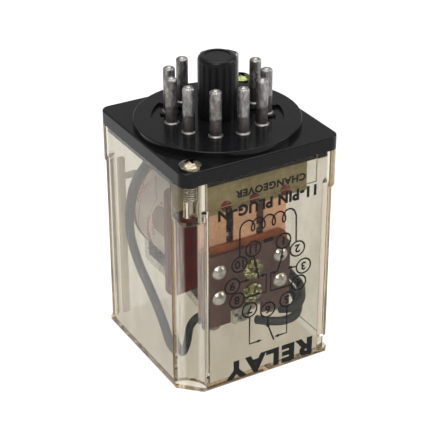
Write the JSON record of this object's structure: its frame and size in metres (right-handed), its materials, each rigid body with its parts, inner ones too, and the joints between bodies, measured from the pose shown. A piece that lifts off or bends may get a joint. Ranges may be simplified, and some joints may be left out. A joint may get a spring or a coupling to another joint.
{
  "type": "plug-in relay",
  "caption": "Plug-in relay with round multi-pin base, keyed centre post, clear square cover and hinged armature that carries the changeover contact springs.",
  "frame": {"origin": "middle of the closed end of the cover, on its outer face", "axes": "+Z along the plug pins, away from the cover; -Y out of the printed face of the cover"},
  "size_m": [0.0346, 0.0346, 0.0636],
  "materials": {
    "clear_plastic": "clear, faintly amber",
    "black_plastic": "gloss",
    "tinned_brass": "tinned, dull",
    "solder": "satin",
    "nickel_steel": "nickel-plated",
    "zinc_steel": "yellow-passivated zinc",
    "relay_iron": "nickel-plated, satin",
    "copper": "satin",
    "spring_bronze": "satin",
    "contact_silver": "satin",
    "dark_nylon": "satin",
    "white_wrap": "satin",
    "laminate": "satin",
    "card_laminate": "satin",
    "tan_phenolic": "matt",
    "varnish": "gloss",
    "spring_steel": "bright",
    "dark_sleeve": "satin"
  },
  "bodies": {
    "case": {"base": "black_plastic", "bobbin": "dark_nylon", "coil_leads": "dark_sleeve", "coil_winding": "copper", "coil_wrap": "white_wrap", "contact_block": "tan_phenolic", "core": "relay_iron", "cover": "clear_plastic", "cover_screws": "nickel_steel", "fixed_contacts": "contact_silver", "flex_lead_1": "dark_sleeve", "flex_lead_2": "dark_sleeve", "flex_lead_3": "dark_sleeve", "hookup_wires": "copper", "nc_blade_1": "spring_bronze", "nc_blade_2": "spring_bronze", "nc_blade_3": "spring_bronze", "no_blade_1": "spring_bronze", "no_blade_2": "spring_bronze", "no_blade_3": "spring_bronze", "pin_01": "tinned_brass", "pin_02": "tinned_brass", "pin_03": "tinned_brass", "pin_04": "tinned_brass", "pin_05": "tinned_brass", "pin_06": "tinned_brass", "pin_07": "tinned_brass", "pin_08": "tinned_brass", "pin_09": "tinned_brass", "pin_10": "tinned_brass", "pin_11": "tinned_brass", "pin_solder": "solder", "return_spring": "spring_steel", "shading_ring": "copper", "spring_bracket": "relay_iron", "varnish_seals": "varnish", "yoke": "relay_iron", "yoke_screws": "zinc_steel"},
    "armature": {"armature": "relay_iron", "backing_sheet": "laminate", "card_sheet": "laminate", "contact_card": "card_laminate", "card_rivets": "contact_silver", "card_screws": "zinc_steel", "moving_spring_1": "spring_bronze", "moving_contact_1": "contact_silver", "moving_spring_2": "spring_bronze", "moving_contact_2": "contact_silver", "moving_spring_3": "spring_bronze", "moving_contact_3": "contact_silver"}
  },
  "joints": [
    {"name": "armature_hinge", "type": "hinge", "parent": "case", "child": "armature", "pos_m": [0, -0.0092, 0.0144], "axis": [-1, 0, 0], "range_deg": [0, 3.2], "stiffness_Nm_per_rad": 0.004, "springref_deg": -17.19}
  ]
}
